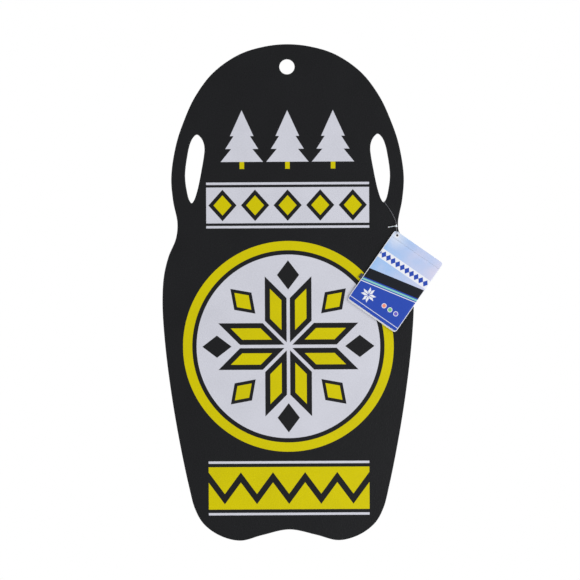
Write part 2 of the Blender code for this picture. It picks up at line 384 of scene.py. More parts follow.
class Look:
    """A material whose nodes are added by sums."""

    def __init__(self, name, **fed):
        self.material = bpy.data.materials.new(name)
        self.material.use_nodes = True
        self.tree = self.material.node_tree
        self.shader = self.tree.nodes["Principled BSDF"]
        self.set(**fed)

    def set(self, **fed):
        """Feeds sockets of the shader, with an underscore for each space in their names."""
        for name, value in fed.items():
            feed(self.tree, self.shader.inputs[name.replace("_", " ")], getattr(value, "socket", value))

    def node(self, kind, settings=None, sockets=None):
        """Adds a node and returns the values that it gives."""
        plain = {name: getattr(value, "socket", value) for name, value in (sockets or {}).items()}
        return [Value(self, output) for output in add_node(self.tree, kind, settings, plain)]

    def mix(self, share, a, b):
        """Colour a where share is 0, and colour b where it is 1. The node's inputs 6 and 7 are colours."""
        settings = {"data_type": "RGBA"}
        return self.node("ShaderNodeMix", settings, {0: share, 6: a, 7: b})[2]

    def noise(self, vector, scale, detail=2):
        """Soft noise, about 0.5 on average. More detail adds finer and finer noise to it."""
        return self.node("ShaderNodeTexNoise", {}, {"Vector": vector, "Scale": scale, "Detail": detail})[0]

    def cells(self, vector, scale, feature="F1"):
        """Distance to the nearest of many scattered points."""
        settings = {"feature": feature}
        return self.node("ShaderNodeTexVoronoi", settings, {"Vector": vector, "Scale": scale})[0]

    def bump(self, height, distance, strength):
        """Embosses the surface by a height from 0 to 1, which stands for this distance."""
        sockets = {"Height": height, "Distance": distance, "Strength": strength}
        self.set(Normal=self.node("ShaderNodeBump", {}, sockets)[0])

    def flat_map(self):
        """The piece's flat map in metres, as a vector and its two parts."""
        vector = self.node("ShaderNodeUVMap", {"uv_map": FLAT_MAP})[0]
        parts = self.node("ShaderNodeSeparateXYZ", {}, {0: vector})
        return vector, parts[0], parts[1]

    def object_place(self):
        """The place in the object's own coordinates, which are the node's fourth output."""
        return self.node("ShaderNodeTexCoord")[3]


print(f"looks ready, with a map named {FLAT_MAP}")

# %% Screen colours


def srgb(red, green, blue):
    """The linear colour of a screen colour from 0 to 255."""
    parts = (c / 255 for c in (red, green, blue))
    return tuple(c / 12.92 if c <= 0.04045 else ((c + 0.055) / 1.055) ** 2.4 for c in parts)


print(f"screen colours ready: a middle grey of 128 is {srgb(128, 128, 128)[0]:.3f}")

# %% [markdown]
# ## The sheet's outline
#
# The die that cuts the sheet is described by a few shares of its half width and its length, read
# along the right side from the nose tip to the notch in the tail. The left side is its mirror. The
# sizes themselves come from the frame, so the outline always fits what moves it.

# %% Outline of the sheet
OUTLINE_SHARES = [
    (0.000, 0.000),
    (0.189, 0.005),
    (0.386, 0.021),
    (0.589, 0.057),
    (0.733, 0.105),
    (0.823, 0.154),
    (0.886, 0.202),
    (0.925, 0.266),
    (0.912, 0.314),
    (0.878, 0.360),
    (0.891, 0.391),
    (0.950, 0.427),
    (0.988, 0.467),
    (1.000, 0.522),
    (0.982, 0.600),
    (0.937, 0.696),
    (0.875, 0.793),
    (0.798, 0.889),
    (0.749, 0.936),
    (0.681, 0.966),
    (0.550, 0.990),
    (0.389, 1.000),
    (0.214, 0.989),
    (0.000, 0.978),
]
OUTLINE_STEPS = 12

nose_low, nose_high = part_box("deck_nose")
NOSE_TIP, LENGTH = nose_high.z, nose_high.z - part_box("deck_tail")[0].z
HALF_WIDTH = max(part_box(node)[1].x for node in frame["nodes"] if node.startswith("deck"))


def sheet_outline():
    """The whole outline, clockwise from the nose tip, as (x, z)."""
    points = [(w * HALF_WIDTH, NOSE_TIP - d * LENGTH) for w, d in OUTLINE_SHARES]
    before = (-points[1][0], points[1][1])
    after = (-points[-2][0], points[-2][1])
    right = [tuple(p) for p in through(points, OUTLINE_STEPS, before, after)]
    left = [(-x, z) for x, z in reversed(right[1:-1])]
    return right + left


OUTLINE = sheet_outline()
print(f"outline: {len(OUTLINE)} points, {2 * HALF_WIDTH:.3f} m wide, {LENGTH:.3f} m long")

# %% [markdown]
# ## The hanging hole and the grips
#
# The hole is a circle round the origin. A grip is a bean shape in shares of its own width and
# height, from its top, clockwise on the right side. It keeps a rim of foam outside it, measured
# where the grip is widest.

# %% Outlines of the hole and the grips
HANG_HOLE_RADIUS = 0.0140
HOLE_SIDES = 96
GRIP_TALL, GRIP_WIDE = 0.1264, 0.0360
GRIP_DROP, GRIP_RIM = 0.1656, 0.0255
GRIP_WIDEST_SHARE = 0.63
GRIP_STEPS = 9
GRIP_SHARES = [
    (0.39, 0.00),
    (0.60, 0.05),
    (0.77, 0.16),
    (0.90, 0.34),
    (0.98, 0.50),
    (1.00, 0.63),
    (0.93, 0.80),
    (0.80, 0.95),
    (0.67, 1.00),
    (0.55, 0.96),
    (0.39, 0.83),
    (0.28, 0.70),
    (0.17, 0.54),
    (0.035, 0.32),
    (0.00, 0.21),
    (0.05, 0.12),
    (0.20, 0.04),
]


def circle(middle, radius, sides):
    turns = [2 * math.pi * k / sides for k in range(sides)]
    return [(middle[0] + radius * math.cos(t), middle[1] + radius * math.sin(t)) for t in turns]


def side_at(z):
    """Half the sheet's width at a height between the nose and the lobes of the tail."""
    for (x0, z0), (x1, z1) in zip(OUTLINE, OUTLINE[1:]):
        if z1 <= z <= z0:
            return x0 + (x1 - x0) * (z0 - z) / (z0 - z1)
    return 0


def grip_outline(side):
    """A grip's outline (x, z), on the right where side is 1 and on the left where it is -1."""
    top = NOSE_TIP - GRIP_DROP
    outer = side_at(top - GRIP_WIDEST_SHARE * GRIP_TALL) - GRIP_RIM
    points = [(outer - GRIP_WIDE * (1 - u), top - v * GRIP_TALL) for u, v in GRIP_SHARES]
    ring = through([*points, points[0]], GRIP_STEPS, points[-1], points[1])[:-1]
    return [(side * x, z) for x, z in ring]


CUTS = [circle((0, 0), HANG_HOLE_RADIUS, HOLE_SIDES), grip_outline(1), grip_outline(-1)]
print(f"cuts: {[len(cut) for cut in CUTS]} points")

# %% [markdown]
# ## A die-cut plate
#
# A flat Blender curve with several closed splines fills itself and leaves the inner ones open, as a
# die does. Its extrusion gives the thickness and its bevel rounds the edge that the die presses in.
# The offset takes the bevel back, so that the outermost edge stays on the outline.

# %% Plate from outlines


def evaluated_mesh(made):
    """A new mesh of an object as its bevel or its modifiers leave it."""
    evaluated = made.evaluated_get(bpy.context.evaluated_depsgraph_get())
    return bpy.data.meshes.new_from_object(evaluated)


def plate(rings, front, back, rounding, round_steps=1):
    """A bmesh plate with these outlines (x, z), from depth front to depth back along Y."""
    curve = bpy.data.curves.new("die", "CURVE")
    curve.dimensions = "2D"
    curve.fill_mode = "BOTH"
    curve.extrude = (back - front) / 2 - rounding
    curve.bevel_depth = rounding
    curve.bevel_resolution = round_steps
    curve.offset = -rounding
    for ring in rings:
        add_line(curve, [(x, z, 0) for x, z in ring]).use_cyclic_u = True
    die = link(bpy.data.objects.new("die", curve))
    mesh = evaluated_mesh(die)
    bm = bmesh.new()
    bm.from_mesh(mesh)
    bpy.data.objects.remove(die)
    bpy.data.curves.remove(curve)
    bpy.data.meshes.remove(mesh)
    bmesh.ops.remove_doubles(bm, verts=bm.verts, dist=WELD)
    stand = Matrix.Translation((0, (front + back) / 2, 0)) @ Matrix.Rotation(math.radians(90), 4, "X")
    bmesh.ops.transform(bm, matrix=stand, verts=bm.verts)
    bmesh.ops.recalc_face_normals(bm, faces=bm.faces)
    return bm


def open_edges(bm):
    return [edge for edge in bm.edges if len(edge.link_faces) != 2]


DECK_ROUNDING, DECK_ROUND_STEPS = 0.0009, 3
BASE_ROUNDING = 0.0002
base_low, base_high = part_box("base_nose")
LAYERS = {
    "deck": plate([OUTLINE, *CUTS], nose_low.y, nose_high.y, DECK_ROUNDING, DECK_ROUND_STEPS),
    "base": plate([OUTLINE, *CUTS], base_low.y, base_high.y, BASE_ROUNDING),
}
for layer, bm in LAYERS.items():
    print(f"{layer}: {len(bm.faces)} faces, {len(open_edges(bm))} open edges")

# %% [markdown]
# ## Cutting the sheet where it rolls
#
# The frame rolls the sheet at 24 folds. A hard hinge line across foam would look wrong, so each
# visible piece runs from the middle of one strip to the middle of the next, across the fold between
# them. The last one reaches as far below its fold as above it. Rows of edges a few millimetres apart
# are cut across each piece between the nose and the tail.

# %% Pieces between the folds
ROW_STEP = 0.0022
FIRST_BEND_ABOVE = 0.0040
ON_THE_CUT = 1e-7
FOLDS = sorted((joint for joint in JOINTS.values() if joint["name"].startswith("roll")),
               key=lambda joint: joint["name"])
FOLD_HEIGHTS = [fold["pos_m"][2] for fold in FOLDS]
MIDDLES = [(a + b) / 2 for a, b in zip(FOLD_HEIGHTS, FOLD_HEIGHTS[1:])]
CUT_HEIGHTS = [FOLD_HEIGHTS[0] + FIRST_BEND_ABOVE, *MIDDLES, 2 * FOLD_HEIGHTS[-1] - MIDDLES[-1]]


def cut_across(bm, at, keep=None, axis=2):
    """Cuts square to an axis, and keeps both sides or only what is above or below, closed again."""
    normal = Vector([float(k == axis) for k in range(3)])
    bmesh.ops.bisect_plane(
        bm, geom=[*bm.verts, *bm.edges, *bm.faces], dist=ON_THE_CUT, plane_co=normal * at,
        plane_no=normal, clear_outer=keep == "below", clear_inner=keep == "above",
    )
    if keep:
        bmesh.ops.edgeloop_fill(bm, edges=open_edges(bm))


def between(source, top, bottom):
    """A closed copy of the sheet between two heights. None leaves that end whole."""
    bm = source.copy()
    if top is not None:
        cut_across(bm, top, "below")
    if bottom is not None:
        cut_across(bm, bottom, "above")
    if top is not None and bottom is not None:
        rows = max(2, round((top - bottom) / ROW_STEP))
        for k in range(1, rows):
            cut_across(bm, top + (bottom - top) * k / rows)
    return bm


print(f"cuts across the sheet: {len(CUT_HEIGHTS)}, from {CUT_HEIGHTS[0]:.4f} to {CUT_HEIGHTS[-1]:.4f}")

# %% [markdown]
# ## A flat map for the print
#
# The print has to bend with the sheet. Object coordinates don't, so each corner of each face stores
# where it lay on the flat sheet, in metres. On the faces round the edge both numbers also count the
# depth, or the texture there would be drawn out into streaks.

# %% Flat map and finish of a sheet piece
EDGE_SHEAR = (1.0, -0.7)
FLAT_FROM = 0.999


def facing(normal):
    """Whether a face lies in the front or the back of the sheet."""
    return abs(normal.y) > FLAT_FROM


def sheet_mesh(name, bm):
    """A mesh whose faces are 0 for the skin in front and 1 for the rest, with the flat map."""
    flat = bm.loops.layers.uv.new(FLAT_MAP)
    for face in bm.faces:
        skin = facing(face.normal) and face.normal.y < 0
        face.material_index = 0 if skin else 1
        face.smooth = True
        for loop in face.loops:
            x, y, z = loop.vert.co
            shift = (0, 0) if facing(face.normal) else (EDGE_SHEAR[0] * y, EDGE_SHEAR[1] * y)
            loop[flat].uv = (x + shift[0], z + shift[1])
    for edge in bm.edges:
        if len(edge.link_faces) == 2:
            first, second = (face.normal for face in edge.link_faces)
            edge.smooth = facing(first) == facing(second) and first.angle(second, 0) < SHARP_FROM
    return plain_mesh(name, bm)


print(f"flat map: sheared by {EDGE_SHEAR} of the depth round the edges")

# %% [markdown]
# ## The printed skin of the deck
#
# The deck's skin is black, embossed with a fine pebble grain, and printed in two colours, a pale
# bluish grey and a strong yellow. The design is a plain winter pattern, as on a knitted jumper: fir
# trees stand on the nose, diamonds cross the neck, an eight-petalled star fills a ringed disc on the
# body and a zigzag band crosses the tail. All of it is arithmetic on the flat map. Each shape is a
# depth in metres, which is above zero inside the shape, so `inside` makes all the edges equally soft.

# %% Inks
INK_EDGE = 0.0005
DEEP_BLACK, GREY_BLACK = srgb(10, 10, 12), srgb(29, 30, 32)
PALE_INK = srgb(203, 204, 214)
YELLOW_INK = srgb(203, 191, 0)
RULE_HALF = 0.0022


def strip_and_rules(u, v, height, half_tall, reach, rule_at):
    """Depths inside a straight strip across the sheet, and inside the two rules beside it."""
    off, rest = abs(v - height), reach - abs(u)
    return (half_tall - off).low(rest), (RULE_HALF - abs(off - rule_at)).low(rest)


def diamond(across, along, half_wide, half_tall):
    """Depth inside a diamond, from the distances to its two middle lines."""
    slope = half_wide * half_tall / math.hypot(half_wide, half_tall)
    return (1 - across / half_wide - along / half_tall) * slope


print(f"inks: three, with edges {INK_EDGE} m soft")

# %% Fir trees on the nose
TREE_FOOT_Z = -0.1880
TREE_TALL, TREE_HALF_WIDE = 0.1080, 0.0390
TREE_STEP = 0.0840
TREE_TIERS, TREE_COUNT = 3, 3
TRUNK_HALF, TRUNK_TALL = 0.0042, 0.0130
TIER_SPREAD = 1.5


def fir_trees(u, v):
    """Depths inside a row of trees, each of a few tiers, and inside their trunks."""
    across = abs(u).zigzag(TREE_STEP / 2)
    row = TREE_COUNT * TREE_STEP / 2 - abs(u)
    trunks = (TRUNK_HALF - across).low(v - TREE_FOOT_Z, TREE_FOOT_Z + TRUNK_TALL - v, row)
    tier_tall = (TREE_TALL - TRUNK_TALL) / (TREE_TIERS + 1)
    tents = []
    for tier in range(TREE_TIERS):
        foot = TREE_FOOT_Z + TRUNK_TALL + tier_tall * tier
        half_wide = TREE_HALF_WIDE * (1 - tier / (TREE_TIERS + TIER_SPREAD))
        slope = 2 * tier_tall / half_wide
        tent = (foot + 2 * tier_tall - v - across * slope) / math.hypot(1, slope)
        tents.append(tent.low(v - foot, row))
    return tents[0].high(*tents[1:]), trunks


print(f"trees: {TREE_COUNT}, each {TREE_TALL} m tall, in {TREE_TIERS} tiers")

# %% Row of diamonds at the neck
NECK_STRIP = {"height": -0.2550, "half_tall": 0.0330, "reach": 0.1500, "rule_at": 0.0400}
NECK_STEP = 0.0600
NECK_HALF_WIDE, NECK_HALF_TALL = 0.0260, 0.0290
NECK_INSET = 0.0070


def neck_row(u, v):
    """Depths inside the pale strip, its diamonds and the two rules above and below it."""
    strip, rules = strip_and_rules(u, v, **NECK_STRIP)
    drop = abs(v - NECK_STRIP["height"])
    diamonds = diamond(abs(u).zigzag(NECK_STEP / 2), drop, NECK_HALF_WIDE, NECK_HALF_TALL)
    return strip, diamonds.low(strip), rules


print(f"neck: diamonds every {NECK_STEP} m")

# %% Star in a disc
DISC_Z = -0.5150
DISC_RADIUS = 0.1690
RING_AT, RING_HALF = 0.1855, 0.0085
STAR_UNIT, STAR_GAP, STAR_INSET = 0.0430, 0.0030, 0.0095
ARM_DIAMOND = (0.1315, 0.0205, 0.0270)
CORNER_DIAMOND = (0.1180, 0.0225, 0.0325)
CORNER_INSET = 0.0060
HALF_ROOT = math.sqrt(0.5)


def star_petals(across, along, unit, gap):
    """Depth inside eight petals. Folding the plane twice leaves a single petal to describe."""
    arm, off = abs(across).high(abs(along)), abs(across).low(abs(along))
    slant = (arm - off) * HALF_ROOT
    return (unit - off).low(2 * unit * HALF_ROOT - slant, off - gap, slant - gap)


def star_disc(u, v):
    """Depths inside the disc, the ring round it, the star's petals and the star's diamonds."""
    across, along = abs(u), abs(v - DISC_Z)
    far = (across ** 2 + along ** 2) ** 0.5
    arm, off = across.high(along), across.low(along)
    at, half_wide, half_long = ARM_DIAMOND
    arms = diamond(off, abs(arm - at), half_wide, half_long)
    at, half_wide, half_long = CORNER_DIAMOND
    corners = diamond((arm - off) * HALF_ROOT, abs((arm + off) * HALF_ROOT - at), half_wide, half_long)
    petals = star_petals(u, v - DISC_Z, STAR_UNIT, STAR_GAP)
    return DISC_RADIUS - far, RING_HALF - abs(far - RING_AT), petals, arms, corners


print(f"disc: {2 * DISC_RADIUS} m across, in a ring {2 * RING_HALF} m wide")

# %% Zigzag band on the tail
TAIL_STRIP = {"height": -0.7760, "half_tall": 0.0390, "reach": 0.1480, "rule_at": 0.0475}
ZIGZAG_STEP = 0.0592
ZIGZAG_SLOPE = 1.35
ZIGZAG_HALF_LINE = 0.0056


def tail_band(u, v):
    """Depths inside the band, the rules beside it and its zigzag line."""
    band, rules = strip_and_rules(u, v, **TAIL_STRIP)
    half_step = ZIGZAG_STEP / 2
    wave = (abs(u).zigzag(half_step) - half_step / 2) * ZIGZAG_SLOPE
    line = ZIGZAG_HALF_LINE - abs(v - TAIL_STRIP["height"] - wave) / math.hypot(1, ZIGZAG_SLOPE)
    return band, rules, line.low(band + RULE_HALF)


print(f"tail: a zigzag every {ZIGZAG_STEP} m")

# %% Skin of the deck
GRAIN_PER_METRE, WAVES_PER_METRE = 620, 60
GRAIN_HEIGHT, GRAIN_STRENGTH, WAVES_SHARE = 0.00026, 0.9, 0.8
SPECKLE_PER_METRE, WASH_PER_METRE = 420, 14
SPECKLE_SHARE, WASH_SHARE = 0.7, 0.3
WEAR, WEAR_FROM = 0.16, 0.86
SKIN_ROUGH, WASH_ROUGH, GRAIN_ROUGH = 0.33, 0.08, 0.12


def printed_skin():
    look = Look("printed_skin", Specular_IOR_Level=0.09)
    flat, u, v = look.flat_map()
    trees, trunks = fir_trees(u, v)
    neck, neck_diamonds, neck_rules = neck_row(u, v)
    disc, ring, petals, arms, corners = star_disc(u, v)
    band, band_rules, zigzag = tail_band(u, v)
    dark = petals.high(arms, corners, neck_diamonds)
    bright = (petals - STAR_INSET).high(corners - CORNER_INSET, neck_diamonds - NECK_INSET)
    speckle, wash = look.noise(flat, SPECKLE_PER_METRE), look.noise(flat, WASH_PER_METRE)
    black = look.mix(speckle * SPECKLE_SHARE + wash * WASH_SHARE, DEEP_BLACK, GREY_BLACK)
    inks = [
        (trees.high(neck, neck_rules, disc, band_rules), PALE_INK),
        (dark, black),
        (bright.high(trunks, ring, band), YELLOW_INK),
        (zigzag, black),
    ]
    colour = black
    for depth, ink in inks:
        colour = look.mix(depth.inside(INK_EDGE), colour, ink)
    worn = (speckle + wash - WEAR_FROM) * WEAR
    look.set(Base_Color=look.mix(worn, colour, black))

    grain, waves = look.cells(flat, GRAIN_PER_METRE, "SMOOTH_F1"), look.noise(flat, WAVES_PER_METRE)
    look.set(Roughness=SKIN_ROUGH + wash * WASH_ROUGH + grain * GRAIN_ROUGH)
    look.bump(grain * -1 + waves * WAVES_SHARE, GRAIN_HEIGHT, GRAIN_STRENGTH)
    return look.material


SKIN = printed_skin()
print(f"printed skin: {len(SKIN.node_tree.nodes)} nodes")

# %% [markdown]
# ## Cut foam and the slick base
#
# Where the die went through, the foam shows its closed cells: dull black, with tiny pits, whose
# hollows are given painted shade in the foam's colour. The base is a different plastic, smooth and
# glossy, with faint scuffs along the way that it slides. A scuff is noise drawn out along the sheet,
# and each column of it is shifted by its own amount, because scuffs that all began at one height
# would lie in rows.

# %% Cut foam
CELLS_PER_METRE, MOTTLE_PER_METRE = 1500, 120
CELL_DEPTH, CELL_STRENGTH = 0.00012, 0.7
CELL_DARK, CELL_PALE = srgb(22, 22, 24), srgb(52, 52, 56)
PIT_SHADE_SHARE, MOTTLE_SHARE = 0.5, 0.4
FOAM_ROUGH, MOTTLE_ROUGH = 0.72, 0.18


def cut_foam():
    look = Look("cut_foam", Specular_IOR_Level=0.35)
    flat = look.flat_map()[0]
    pits_and_pit_shade = look.cells(flat, CELLS_PER_METRE)
    mottle = look.noise(flat, MOTTLE_PER_METRE, RICH_DETAIL)
    # Painted shade: the colour darkens down in the pits, where the bump is lowest, and is also mottled at
    # random.
    look.set(Base_Color=look.mix(pits_and_pit_shade * PIT_SHADE_SHARE + mottle * MOTTLE_SHARE, CELL_DARK, CELL_PALE))
    look.set(Roughness=FOAM_ROUGH + mottle * MOTTLE_ROUGH)
    look.bump(pits_and_pit_shade, CELL_DEPTH, CELL_STRENGTH)
    return look.material


FOAM = cut_foam()
print(f"cut foam: {len(FOAM.node_tree.nodes)} nodes")

# %% Slick base
SCUFFS_PER_METRE, CLOUDS_PER_METRE, DENTS_PER_METRE = 900, 9, 35
SCUFF_STRETCH = 0.025
SHIFTS_PER_METRE, SHIFT_REACH = 350, 0.012
SCUFF_FROM, SCUFF_EDGE = 0.62, 0.10
SLICK_DARK, SLICK_PALE = srgb(20, 20, 22), srgb(78, 78, 82)
SCUFF_SHARE, CLOUD_SHARE, SCUFF_DEPTH_SHARE = 0.6, 0.1, 0.05
SLICK_ROUGH, SCUFF_ROUGH, CLOUD_ROUGH = 0.22, 0.25, 0.10
DENT_DEPTH, DENT_STRENGTH = 0.0004, 0.35


def slick_plastic():
    look = Look("slick_plastic", Specular_IOR_Level=0.5)
    flat, u, v = look.flat_map()
    column = look.node("ShaderNodeCombineXYZ", {}, {0: u})[0]
    place = v * SCUFF_STRETCH + look.noise(column, SHIFTS_PER_METRE) * SHIFT_REACH
    along = look.node("ShaderNodeCombineXYZ", {}, {0: u, 1: place})[0]
    scuffs = look.noise(along, SCUFFS_PER_METRE, RICH_DETAIL)
    fine = (scuffs - SCUFF_FROM).inside(SCUFF_EDGE)
    cloud = look.noise(flat, CLOUDS_PER_METRE, RICH_DETAIL)
    look.set(Base_Color=look.mix(fine * SCUFF_SHARE + cloud * CLOUD_SHARE, SLICK_DARK, SLICK_PALE))
    look.set(Roughness=SLICK_ROUGH + fine * SCUFF_ROUGH + cloud * CLOUD_ROUGH)
    dents = look.noise(flat, DENTS_PER_METRE)
    look.bump(dents + scuffs * SCUFF_DEPTH_SHARE, DENT_DEPTH, DENT_STRENGTH)
    return look.material


SLICK = slick_plastic()
print(f"slick plastic: {len(SLICK.node_tree.nodes)} nodes")

# %% [markdown]
# ## Making the sheet's pieces
#
# The nose rides on its body as a whole and so does the tail. Each piece between them spans one fold
# and stays where it is made. Every piece stands in for the plain solid of the same place, apart from
# the last bend, because there is one fold more than there are strips between the nose and the tail.

# %% Sheet pieces
LAYER_LOOKS = {"deck": ([SKIN, FOAM], "deck_foam"), "base": ([SLICK, SLICK], "slick_base")}


def make_sheet(layer):
    """Makes a layer's pieces, from the nose to the tail, and returns how many triangles they have."""
    looks, slot = LAYER_LOOKS[layer]
    source = LAYERS[layer]
    heights = [None, *CUT_HEIGHTS, None]
    labels = ["nose_sheet", *(f"bend_{i:02d}" for i in range(1, len(CUT_HEIGHTS))), "tail_sheet"]
    bodies = [FOLDS[0]["parent"], *(fold["child"] for fold in FOLDS)]
    triangles = 0
    for i, (label, top, bottom) in enumerate(zip(labels, heights, heights[1:])):
        name = f"{layer}_{label}"
        piece = add_object(name, sheet_mesh(name, between(source, top, bottom)), looks)
        triangles += sum(len(face.vertices) - 2 for face in piece.data.polygons)
        if top is None:
            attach(piece, bodies[0])
            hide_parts(f"{layer}_nose")
        elif bottom is None:
            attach(piece, bodies[-1])
            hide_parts(f"{layer}_tail")
        else:
            bodies[i - 1]
            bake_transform(piece)
            if i < len(FOLDS):
                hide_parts(f"{layer}_strip_{i:02d}")
    source.free()
    return triangles


for layer in LAYERS:
    print(f"{layer}: {make_sheet(layer)} triangles")

# %% [markdown]
# ## The lock of the loop
#
# The loop's two ends meet in a small lock: a white bulb, a flattened ball with a thin neck, is pushed
# into a dark grey socket. A thin bar stands out sideways and slopes down a little, for the fingers to
# hold while the loop is closed. It has a boss at its foot, a swelling in its middle and a knob at its
# end. All three are turned from a profile of shares of a radius and of a height, because a list of
# numbers shows such a shape best. The bar is then laid on its side.

# %% Lock
LOCK_SIDES = 24
LOCK_RADIUS = 0.0013
LOCK_GAP = 0.0002
SEAM_SHARE = 0.44
BAR_WAY = Vector((-0.0155, 0, -0.0024))
BAR_RADIUS = 0.00065
BAR_HEIGHT_SHARE = 0.68

SOCKET_PROFILE = [(0.42, 0.00), (0.60, 0.03), (0.68, 0.30), (0.92, 0.42), (1.00, 0.50),
                  (1.00, 0.90), (0.90, 1.00)]
BULB_PROFILE = [(0.80, 0.00), (1.12, 0.05), (1.42, 0.15), (1.52, 0.30), (1.42, 0.45), (1.06, 0.58),
                (0.60, 0.67), (0.44, 0.74), (0.38, 1.00)]
BAR_PROFILE = [(2.10, 0.00), (2.05, 0.10), (1.60, 0.17), (1.00, 0.24), (0.95, 0.34), (1.40, 0.46),
               (1.40, 0.56), (1.00, 0.68), (1.05, 0.78), (1.65, 0.87), (1.90, 0.93), (1.70, 0.97),
               (1.10, 0.99), (0.30, 1.00)]


def standing(foot, way):
    """A matrix that stands a piece on a point, with its height along a way."""
    return Matrix.Translation(foot) @ way.to_track_quat("Z", "Y").to_matrix().to_4x4()


def make_lock_piece(name, profile, radius, low, high, place, look):
    """A piece turned from shares of a radius, between two heights."""
    sized = [(radius * r, low + (high - low) * h) for r, h in profile]
    return add_object(name, finish_mesh(name, turned(sized, LOCK_SIDES), place), [look])


def make_lock(white, dark_socket, dull):
    """The lock's socket, bulb and bar, between the two ends of the loop."""
    foot, axis = Vector(LOOP_ROUTE[-1]), Vector(LOOP_ROUTE[0]) - Vector(LOOP_ROUTE[-1])
    low, high = LOCK_GAP, axis.length - LOCK_GAP
    seam = low + (high - low) * SEAM_SHARE
    barrel = standing(foot, axis)
    bar = standing(barrel @ Vector((0, 0, low + (high - low) * BAR_HEIGHT_SHARE)), BAR_WAY)
    return [
        make_lock_piece("lock_socket", SOCKET_PROFILE, LOCK_RADIUS, low, seam, barrel, dark_socket),
        make_lock_piece("lock_bulb", BULB_PROFILE, LOCK_RADIUS, seam, high, barrel, white),
        make_lock_piece("lock_bar", BAR_PROFILE, BAR_RADIUS, 0, BAR_WAY.length, bar, dull),
    ]


print(f"lock: {len(SOCKET_PROFILE)}, {len(BULB_PROFILE)} and {len(BAR_PROFILE)} rings")

# %% Nylon looks
NYLON_MOTTLE_PER_METRE, NYLON_GRAIN_PER_METRE = 500, 2500
NYLON_ROUGH, NYLON_MOTTLE_ROUGH = 0.32, 0.12
NYLON_GRAIN_HEIGHT, NYLON_GRAIN_STRENGTH = 0.00004, 0.4


def clear_nylon():
    look = Look("clear_nylon", Roughness=0.22, Base_Color=srgb(122, 123, 130),
                Transmission_Weight=0.35, IOR=1.53)
    return look.material


def moulded_nylon(name, dark, pale):
    look = Look(name, Subsurface_Weight=0.15)
    place = look.object_place()
    mottle = look.noise(place, NYLON_MOTTLE_PER_METRE)
    look.set(Base_Color=look.mix(mottle, dark, pale), Roughness=NYLON_ROUGH + mottle * NYLON_MOTTLE_ROUGH)
    look.bump(look.noise(place, NYLON_GRAIN_PER_METRE, 1), NYLON_GRAIN_HEIGHT, NYLON_GRAIN_STRENGTH)
    return look.material


thread.data.materials.append(clear_nylon())
# The lock's socket is dark grey, its bulb white and its bar a duller grey.
lock = make_lock(
    moulded_nylon("white_nylon", srgb(226, 226, 228), srgb(248, 248, 250)),
    moulded_nylon("smoke_nylon", srgb(30, 32, 36), srgb(54, 56, 62)),
    moulded_nylon("dull_nylon", srgb(178, 179, 182), srgb(216, 217, 220)),
)
for piece in (thread, *lock):
    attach(piece, "loop")
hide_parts("loop_filament")
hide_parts("loop_lock")
print(f"loop: thread and {len(lock)} pieces of its lock")

# %% [markdown]
# ## The booklet
#
# The tag is a small booklet: two printed covers, a few inner leaves and a bound head with the
# hole. It is drawn upright and flat about its hole, and one matrix then hangs it on the loop. That
# matrix comes from the frame: the hole is where the tag turns, and the crease gives its tilt.

# %% Where the booklet hangs
TAG_WIDE, TAG_TALL = 0.1080, 0.1554
TAG_HOLE_FROM_SIDE, TAG_HOLE_FROM_HEAD = 0.0088, 0.0060
TAG_HOLE_RADIUS, TAG_HOLE_SIDES = 0.0020, 48
TAG_CORNER_RADIUS, TAG_CORNER_STEPS = 0.0055, 10
TAG_LEFT, TAG_RIGHT = -TAG_HOLE_FROM_SIDE, TAG_WIDE - TAG_HOLE_FROM_SIDE
TAG_TOP, TAG_BOTTOM = TAG_HOLE_FROM_HEAD, TAG_HOLE_FROM_HEAD - TAG_TALL
QUARTER_TURN = math.pi / 2


def tag_place():
    """The matrix that hangs the upright booklet on its hole, and the crease's height from there."""
    hole = Vector(JOINTS["tag_swing"]["pos_m"])
    right = -Vector(JOINTS["cover_open"]["axis"]).normalized()
    out = Vector((0, 1, 0))
    up = right.cross(out)
    turn = Matrix((right, out, up)).transposed().to_4x4()
    return Matrix.Translation(hole) @ turn, (Vector(JOINTS["cover_open"]["pos_m"]) - hole).dot(up)


TAG_PLACE, CREASE = tag_place()


def depths(node):
    """A tag node's depths, measured from the hole's middle."""
    low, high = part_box(node)
    hole = TAG_PLACE.to_translation()
    return low.y - hole.y, high.y - hole.y


def card_outline(low, high, radius, rounded):
    """A rectangle (x, z), clockwise from the lower left, where rounded names the corners with an arc.

    The first arc starts straight down, at three quarter turns, and each one runs back by one.
    """
    signs = {"lower_left": (-1, -1), "upper_left": (-1, 1), "upper_right": (1, 1), "lower_right": (1, -1)}
    corners = []
    for i, (name, (sx, sz)) in enumerate(signs.items()):
        corner = (high[0] if sx > 0 else low[0], high[1] if sz > 0 else low[1])
        if name not in rounded:
            corners.append(corner)
            continue
        middle = (corner[0] - sx * radius, corner[1] - sz * radius)
        for k in range(TAG_CORNER_STEPS + 1):
            turn = QUARTER_TURN * (3 - i - k / TAG_CORNER_STEPS)
            corners.append((middle[0] + radius * math.cos(turn), middle[1] + radius * math.sin(turn)))
    return corners


HEAD_CORNERS, FOOT_CORNERS = ("upper_left", "upper_right"), ("lower_left", "lower_right")
print(f"booklet: hole at {tuple(round(c, 4) for c in TAG_PLACE.to_translation())}, crease {CREASE:.4f}")

# %% [markdown]
# ## Cards that aren't quite flat
#
# Nothing made of paper lies dead flat. The front cover bows a little between its crease and its
# foot and lifts at one corner. A plate has to be cut into a grid before its points can follow such a
# curve, and the curve is zero at the crease, so that the cover still turns about it.

# %% Bowed cards
CARD_GRID = 0.0060
COVER_BOW = 0.0007
CORNER_LIFT, LIFT_POWER = 0.0009, 3


def gridded(bm, low, high):
    """Cuts a plate along X and Z, so that it can bend."""
    for axis, first, last in ((0, low[0], high[0]), (2, low[1], high[1])):
        count = round((last - first) / CARD_GRID)
        for k in range(1, count):
            cut_across(bm, first + (last - first) * k / count, axis=axis)
    return bm


